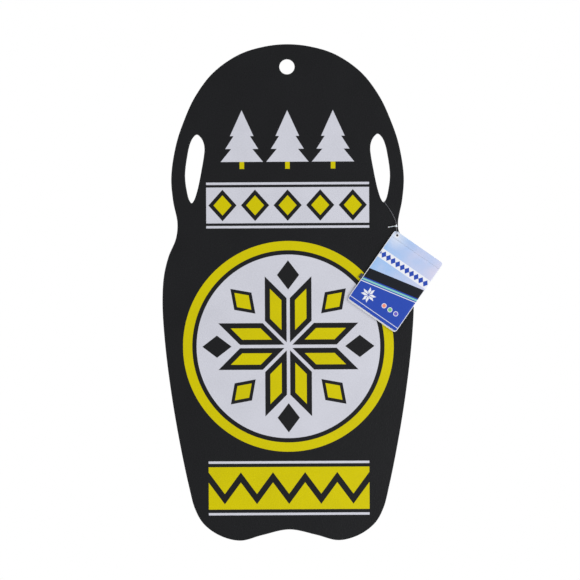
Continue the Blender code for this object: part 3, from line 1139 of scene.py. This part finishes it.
def bow(bm, low, high):
    """Moves a card's points forward: a bow down its length, and a lift at its lower right."""
    for vert in bm.verts:
        down = (high[1] - vert.co.z) / (high[1] - low[1])
        across = (vert.co.x - low[0]) / (high[0] - low[0])
        lift = CORNER_LIFT * (down * across) ** LIFT_POWER
        vert.co.y -= COVER_BOW * math.sin(math.pi * min(1, down)) + lift
    return bm


def card_mesh(name, bm):
    """A card's mesh, 0 in front and 1 elsewhere, with its print's flat map, hung on the loop."""
    bmesh.ops.recalc_face_normals(bm, faces=bm.faces)
    flat = bm.loops.layers.uv.new(FLAT_MAP)
    for face in bm.faces:
        face.material_index = 0 if face.normal.y < -0.5 else 1
        for loop in face.loops:
            loop[flat].uv = (loop.vert.co.x, loop.vert.co.z)
    bmesh.ops.transform(bm, matrix=TAG_PLACE, verts=bm.verts)
    return smooth_mesh(name, bm)


print("card helpers ready")

# %% [markdown]
# ## The booklet's print
#
# The booklet's print keeps to cold colours in plain shapes. A sky blue field fades to lavender over
# a row of small diamonds, and it is paler round the punched hole, which has a white ring of its own.
# Below a slanted dark band with a turquoise and a white rule lies a strong blue field with a small
# star and three round spots. A thin varnish makes it shine more than foam.

# %% Colours of the booklet
SKY, LAVENDER = srgb(158, 192, 236), srgb(212, 208, 228)
NIGHT, ROYAL = srgb(8, 12, 22), srgb(40, 72, 172)
TURQUOISE, CARD_WHITE = srgb(132, 200, 190), srgb(232, 234, 240)
SALMON, LEAF_GREEN, VIOLET = srgb(236, 142, 124), srgb(120, 190, 120), srgb(112, 98, 196)
CARD_EDGE = 0.0004
CARD_RIM = 0.0010
print(f"booklet inks: edges {CARD_EDGE} m soft, in a white rim {CARD_RIM} m wide")

# %% Places on the booklet's cover
ROW_Z, DIAMOND_STEP, DIAMOND_HALF_TALL, ROW_HALF = -0.0430, 0.0103, 0.0068, 0.00884
SLANT, SLANT_Z = 0.22, -0.0760
SLANTED_RULES = [(0.0000, 0.0095, NIGHT), (-0.0135, 0.0017, TURQUOISE), (-0.0178, 0.0007, CARD_WHITE)]
FOOT_ROW_Z = -0.1200
FOOT_STAR_X, FOOT_STAR_UNIT, FOOT_STAR_GAP = 0.0190, 0.0046, 0.0005
FOOT_RULE_Z, FOOT_RULE_HALF = -0.1400, 0.0005
SPOT_RADIUS, SPOT_RIM = 0.0046, 0.0011
SPOTS = [(0.0540, SALMON), (0.0670, LEAF_GREEN), (0.0800, VIOLET)]


def slanted_inks(x, z):
    """The blue field and the rules on its upper edge, as depths with their inks."""
    across = z - SLANT_Z - (x - (TAG_LEFT + TAG_RIGHT) / 2) * SLANT
    rules = [(half - abs(across - at), ink) for at, half, ink in SLANTED_RULES]
    return [(-1 * across, ROYAL), *rules]


def small_inks(x, z):
    """The row of diamonds, the star, the rule at the foot and the spots."""
    half_step, off, above = DIAMOND_STEP / 2, abs(z - ROW_Z), z - FOOT_ROW_Z
    row = diamond(abs(x).zigzag(half_step), off, half_step, DIAMOND_HALF_TALL)
    star = star_petals(x - FOOT_STAR_X, above, FOOT_STAR_UNIT, FOOT_STAR_GAP)
    inks = [(ROW_HALF - off, CARD_WHITE), (row, ROYAL), (star, CARD_WHITE)]
    inks.append((FOOT_RULE_HALF - abs(z - FOOT_RULE_Z), CARD_WHITE))
    for at, ink in SPOTS:
        far = ((x - at) ** 2 + above ** 2) ** 0.5
        inks += [(SPOT_RADIUS - far, CARD_WHITE), (SPOT_RADIUS - SPOT_RIM - far, ink)]
    return inks


print(f"cover: {len(SLANTED_RULES)} slanted rules and {len(SPOTS)} spots")

# %% Printed card
FADE_PER_METRE, FADE_FROM = 7, 0.45
CARD_CLOUDS_PER_METRE, CARD_FIBRE_PER_METRE = 30, 1500
HOLE_RING_RADIUS, GLOW_RADIUS, GLOW_SHARE = 0.0040, 0.0280, 0.75
FIBRE_SHARE = 0.06
CARD_ROUGH, CARD_FIBRE_ROUGH, CARD_CLOUD_ROUGH = 0.40, 0.12, 0.05
VARNISH, VARNISH_SPREAD = 0.02, 0.08
CARD_FIBRE_HEIGHT, CARD_FIBRE_STRENGTH = 0.00003, 0.35


def printed_field(look, x, z, cloud):
    """The field's colour before any shape is printed on it."""
    fade = (x * FADE_PER_METRE + cloud - FADE_FROM).clamped()
    from_hole = (x ** 2 + z ** 2) ** 0.5
    glow = (1 - from_hole / GLOW_RADIUS).clamped() * GLOW_SHARE
    field = look.mix(glow, look.mix(fade, SKY, LAVENDER), CARD_WHITE)
    return look.mix((HOLE_RING_RADIUS - from_hole).inside(CARD_EDGE), field, CARD_WHITE)


def printed_card():
    look = Look("printed_card", Coat_Roughness=0.10, Specular_IOR_Level=0.12)
    flat, x, z = look.flat_map()
    cloud = look.noise(flat, CARD_CLOUDS_PER_METRE, RICH_DETAIL)
    colour = printed_field(look, x, z, cloud)
    for depth, ink in slanted_inks(x, z) + small_inks(x, z):
        colour = look.mix(depth.inside(CARD_EDGE), colour, ink)
    inner = (x - TAG_LEFT).low(TAG_RIGHT - x, z - TAG_BOTTOM) - CARD_RIM
    colour = look.mix(inner.inside(CARD_EDGE), CARD_WHITE, colour)

    fibre = look.noise(flat, CARD_FIBRE_PER_METRE)
    look.set(Base_Color=look.mix(fibre * FIBRE_SHARE, colour, NIGHT))
    look.set(Roughness=CARD_ROUGH + fibre * CARD_FIBRE_ROUGH + cloud * CARD_CLOUD_ROUGH)
    look.set(Coat_Weight=VARNISH + cloud * VARNISH_SPREAD)
    look.bump(fibre, CARD_FIBRE_HEIGHT, CARD_FIBRE_STRENGTH)
    return look.material


CARD_PRINT = printed_card()
print(f"printed card: {len(CARD_PRINT.node_tree.nodes)} nodes")

# %% Plain card and paper
FIBRE_PER_METRE, FIBRE_ROUGH = 1200, 0.15
FIBRE_HEIGHT, FIBRE_STRENGTH = 0.00004, 0.4


def plain_card(name, dark, pale, roughness):
    look = Look(name)
    fibre = look.noise(look.flat_map()[0], FIBRE_PER_METRE, RICH_DETAIL)
    look.set(Base_Color=look.mix(fibre, dark, pale), Roughness=roughness + fibre * FIBRE_ROUGH)
    look.bump(fibre, FIBRE_HEIGHT, FIBRE_STRENGTH)
    return look.material


CARD_PLAIN = plain_card("plain_card", srgb(216, 218, 222), srgb(240, 241, 244), 0.45)
LEAF_PAPER = plain_card("leaf_paper", srgb(206, 208, 212), srgb(236, 237, 240), 0.55)
TAB_CARD = plain_card("tab_card", srgb(14, 18, 28), srgb(30, 34, 46), 0.40)
print(f"plain card and paper: {len(CARD_PLAIN.node_tree.nodes)} nodes each")

# %% Covers and head
CARD_ROUNDING = 0.00008
HEAD_ROUNDING, HEAD_ROUND_STEPS = 0.00024, 2
CARD_GAP = 0.0002
COVER_SHORT = 0.0028
PUNCHED_HOLE = circle((0, 0), TAG_HOLE_RADIUS, TAG_HOLE_SIDES)


def make_back():
    low, high = (TAG_LEFT, TAG_BOTTOM), (TAG_RIGHT, TAG_TOP)
    outline = card_outline(low, high, TAG_CORNER_RADIUS, HEAD_CORNERS + FOOT_CORNERS)
    bm = plate([outline, PUNCHED_HOLE], *depths("tag_back"), CARD_ROUNDING)
    return add_object("booklet_back", card_mesh("booklet_back", bm), [CARD_PLAIN, CARD_PRINT])


def make_head():
    low, high = (TAG_LEFT, CREASE), (TAG_RIGHT, TAG_TOP)
    outline = card_outline(low, high, TAG_CORNER_RADIUS, HEAD_CORNERS)
    bm = plate([outline, PUNCHED_HOLE], *depths("tag_head"), HEAD_ROUNDING, HEAD_ROUND_STEPS)
    return add_object("booklet_head", card_mesh("booklet_head", bm), [CARD_PRINT, CARD_PLAIN])


def make_cover():
    low, high = (TAG_LEFT, TAG_BOTTOM + COVER_SHORT), (TAG_RIGHT, CREASE - CARD_GAP)
    outline = card_outline(low, high, TAG_CORNER_RADIUS, FOOT_CORNERS)
    bm = plate([outline], *depths("tag_cover"), CARD_ROUNDING)
    bm = bow(gridded(bm, low, high), low, high)
    return add_object("booklet_cover", card_mesh("booklet_cover", bm), [CARD_PRINT, CARD_PLAIN])


for piece, body, node in (
    (make_back(), "tag", "tag_back"),
    (make_head(), "tag", "tag_head"),
    (make_cover(), "tag_front", "tag_cover"),
):
    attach(piece, body)
    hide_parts(node)
    print(f"{piece.name}: {len(piece.data.polygons)} faces")

# %% [markdown]
# ## Inner leaves with Geometry Nodes
#
# The leaves are the same sheet of paper several times over, so Geometry Nodes repeat one leaf
# along a short line. Each leaf is a hair shorter than the one behind it, as in a real stapled
# booklet, so that their edges show as a fine step. The tree ends in Realize Instances and Set Material,
# and the result becomes a plain mesh.

# %% Tree that stacks leaves
STACK_INPUTS = {"Leaf": "Geometry", "Count": "Int", "Spacing": "Float", "Growth": "Float",
                "Fan": "Float", "Material": "Material"}


def stack_tree():
    """A tree that repeats a leaf along Y, and the identifiers of its inputs by their names."""
    tree = bpy.data.node_groups.new("leaf_stack", "GeometryNodeTree")
    names = {}
    for name, kind in STACK_INPUTS.items():
        socket = tree.interface.new_socket(name, in_out="INPUT", socket_type=f"NodeSocket{kind}")
        names[name] = socket.identifier
    tree.interface.new_socket("Leaves", in_out="OUTPUT", socket_type="NodeSocketGeometry")
    given = add_node(tree, "NodeGroupInput")
    index = add_node(tree, "GeometryNodeInputIndex")[0]
    step = add_node(tree, "ShaderNodeCombineXYZ", {}, {"Y": given["Spacing"]})[0]
    line = add_node(tree, "GeometryNodeMeshLine", {}, {"Count": given["Count"], "Offset": step})[0]
    longer = add_node(tree, "ShaderNodeMath", {"operation": "MULTIPLY_ADD"},
                      {0: index, 1: given["Growth"], 2: 1})[0]
    turn = add_node(tree, "ShaderNodeMath", {"operation": "MULTIPLY"}, {0: index, 1: given["Fan"]})[0]
    scale = add_node(tree, "ShaderNodeCombineXYZ", {}, {"X": 1, "Y": 1, "Z": longer})[0]
    lean = add_node(tree, "ShaderNodeCombineXYZ", {}, {"Y": turn})[0]
    copies = add_node(tree, "GeometryNodeInstanceOnPoints", {}, {
        "Points": line, "Instance": given["Leaf"], "Rotation": lean, "Scale": scale})[0]
    real = add_node(tree, "GeometryNodeRealizeInstances", {}, {0: copies})[0]
    painted = add_node(tree, "GeometryNodeSetMaterial", {}, {
        "Geometry": real, "Material": given["Material"]})[0]
    add_node(tree, "NodeGroupOutput", {}, {0: painted})
    return tree, names


def bake_nodes(source, tree, names, values, name):
    """Runs a tree on an object and returns its result as a plain object."""
    modifier = source.modifiers.new("nodes", "NODES")
    modifier.node_group = tree
    for label, value in values.items():
        modifier[names[label]] = value
    mesh = evaluated_mesh(source)
    mesh.name = name
    bpy.data.objects.remove(source)
    return add_object(name, mesh, [])


print(f"leaf stack: its inputs are {', '.join(STACK_INPUTS)}")

# %% Leaves
LEAF_COUNT = 6
LEAF_THICK, LEAF_ROUNDING = 0.00009, 0.000018
LEAF_GROWTH = 0.0030
LEAF_FAN = math.radians(0.06)
LEAF_MARGIN = 0.0008


def make_leaves():
    """The stack of leaves. A leaf hangs from height 0, so that its growth only makes it reach lower."""
    front, back = depths("tag_leaves")
    spacing = (back - front - LEAF_THICK) / (LEAF_COUNT - 1)
    longest = CREASE - TAG_BOTTOM - LEAF_MARGIN
    low = (TAG_LEFT + LEAF_MARGIN, -longest / (1 + (LEAF_COUNT - 1) * LEAF_GROWTH))
    high = (TAG_RIGHT - LEAF_MARGIN, -CARD_GAP)
    outline = card_outline(low, high, TAG_CORNER_RADIUS, FOOT_CORNERS)
    bm = plate([outline], 0, LEAF_THICK, LEAF_ROUNDING)
    leaf = add_object("leaf", finish_mesh("leaf", bm), [])
    tree, names = stack_tree()
    leaves = bake_nodes(leaf, tree, names, {
        "Count": LEAF_COUNT, "Spacing": spacing, "Growth": LEAF_GROWTH, "Fan": LEAF_FAN,
        "Material": LEAF_PAPER,
    }, "booklet_leaves")
    bm = bmesh.new()
    bm.from_mesh(leaves.data)
    bmesh.ops.translate(bm, verts=bm.verts, vec=(0, front, CREASE))
    flat = bm.loops.layers.uv.new(FLAT_MAP)
    for face in bm.faces:
        for loop in face.loops:
            loop[flat].uv = (loop.vert.co.x + loop.vert.co.y, loop.vert.co.z)
    bmesh.ops.transform(bm, matrix=TAG_PLACE, verts=bm.verts)
    bm.to_mesh(leaves.data)
    bm.free()
    return leaves


leaves = make_leaves()
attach(leaves, "tag_pages")
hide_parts("tag_leaves")
print(f"leaves: {LEAF_COUNT}, {len(leaves.data.polygons)} faces")

# %% Index tab
TAB_Z, TAB_TALL, TAB_REACH = -0.0990, 0.0095, 0.0060
TAB_CORNER_RADIUS = 0.0011
TAB_THICK, TAB_ROUNDING = 0.00027, 0.00003


def make_tab():
    """A dark tab that sticks out beyond the last leaf."""
    back = depths("tag_leaves")[1]
    low = (TAG_LEFT - TAB_REACH, TAB_Z - TAB_TALL / 2)
    high = (TAG_LEFT + LEAF_MARGIN / 2, TAB_Z + TAB_TALL / 2)
    outline = card_outline(low, high, TAB_CORNER_RADIUS, ("lower_left", "upper_left"))
    bm = plate([outline], back - TAB_THICK, back, TAB_ROUNDING)
    return add_object("index_tab", card_mesh("index_tab", bm), [TAB_CARD, TAB_CARD])


tab = make_tab()
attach(tab, "tag_pages")
print(f"index tab: {len(tab.data.polygons)} faces")

# %% [markdown]
# ## Light, floor and background
#
# Product pictures like this one are lit softly and evenly. Large area lamps stand to the sides, so
# that their reflections miss the camera and the black stays black. Each has a place, a side in metres
# and a power in watts. The white background is the world as the camera sees it, while the world that
# lights the sled is much dimmer. The floor lies below the sled and fades out towards its rim.

# %% World and lamps
WORLD_STRENGTH = 0.28
LAMPS = [
    ("left_lamp", (-2.5, -1.7, 0.5), 1.6, 40),
    ("right_lamp", (2.5, -1.4, 0.3), 1.2, 44),
    ("near_lamp", (1.5, -2.9, -1.3), 0.9, 38),
    ("back_lamp", (0.6, 2.6, 0.6), 1.8, 40),
]
AIM = (0, 0, -0.42)


def make_world():
    """White where the camera, a reflection or a clear piece looks at it, and dim as a light."""
    world = bpy.data.worlds.new("studio")
    world.use_nodes = True
    tree = world.node_tree
    tree.nodes.clear()
    path = add_node(tree, "ShaderNodeLightPath")
    seen = path["Is Camera Ray"]
    for ray in ("Is Glossy Ray", "Is Transmission Ray"):
        seen = add_node(tree, "ShaderNodeMath", {"operation": "MAXIMUM"}, {0: seen, 1: path[ray]})[0]
    white = (1, 1, 1)
    dim = add_node(tree, "ShaderNodeBackground", {}, {"Color": white, "Strength": WORLD_STRENGTH})[0]
    full = add_node(tree, "ShaderNodeBackground", {}, {"Color": white, "Strength": 1})[0]
    choose = add_node(tree, "ShaderNodeMixShader", {}, {0: seen, 1: dim, 2: full})[0]
    add_node(tree, "ShaderNodeOutputWorld", {}, {0: choose})
    bpy.context.scene.world = world


def make_lamp(name, place, size, power):
    data = bpy.data.lights.new(name, "AREA")
    data.shape = "SQUARE"
    data.size = size
    data.energy = power
    lamp = link(bpy.data.objects.new(name, data))
    lamp.location = place
    lamp.rotation_euler = (Vector(AIM) - Vector(place)).to_track_quat("-Z", "Y").to_euler()


make_world()
for lamp in LAMPS:
    make_lamp(*lamp)
bpy.context.scene.view_settings.view_transform = "Standard"
print(f"lamps: {len(LAMPS)}")

# %% Floor
FLOOR_BELOW = 0.30
FLOOR_RADIUS, FLOOR_FADE, FLOOR_SIDES = 0.95, 0.55, 96
FLOOR_PALE, FLOOR_DUSTY = srgb(248, 248, 248), srgb(240, 240, 241)
DUST_PER_METRE = 12


def floor_look():
    """Pale and matt, and see-through towards the rim, so that it has no edge."""
    look = Look("pale_floor", Specular_IOR_Level=0.1, Roughness=0.8)
    place = look.object_place()
    parts = look.node("ShaderNodeSeparateXYZ", {}, {0: place})
    far = (parts[0] ** 2 + parts[1] ** 2) ** 0.5
    dust = look.noise(place, DUST_PER_METRE, RICH_DETAIL)
    look.set(Base_Color=look.mix(dust, FLOOR_PALE, FLOOR_DUSTY))
    look.set(Alpha=((FLOOR_RADIUS - far) / FLOOR_FADE).clamped())
    return look.material


def make_floor():
    bm = bmesh.new()
    place = Matrix.Translation((0, 0, CAD_LOW.z - FLOOR_BELOW))
    bmesh.ops.create_circle(bm, cap_ends=True, segments=FLOOR_SIDES, radius=FLOOR_RADIUS, matrix=place)
    add_object("floor", plain_mesh("floor", bm), [floor_look()])


make_floor()
print(f"floor: {FLOOR_BELOW} m below the sled")
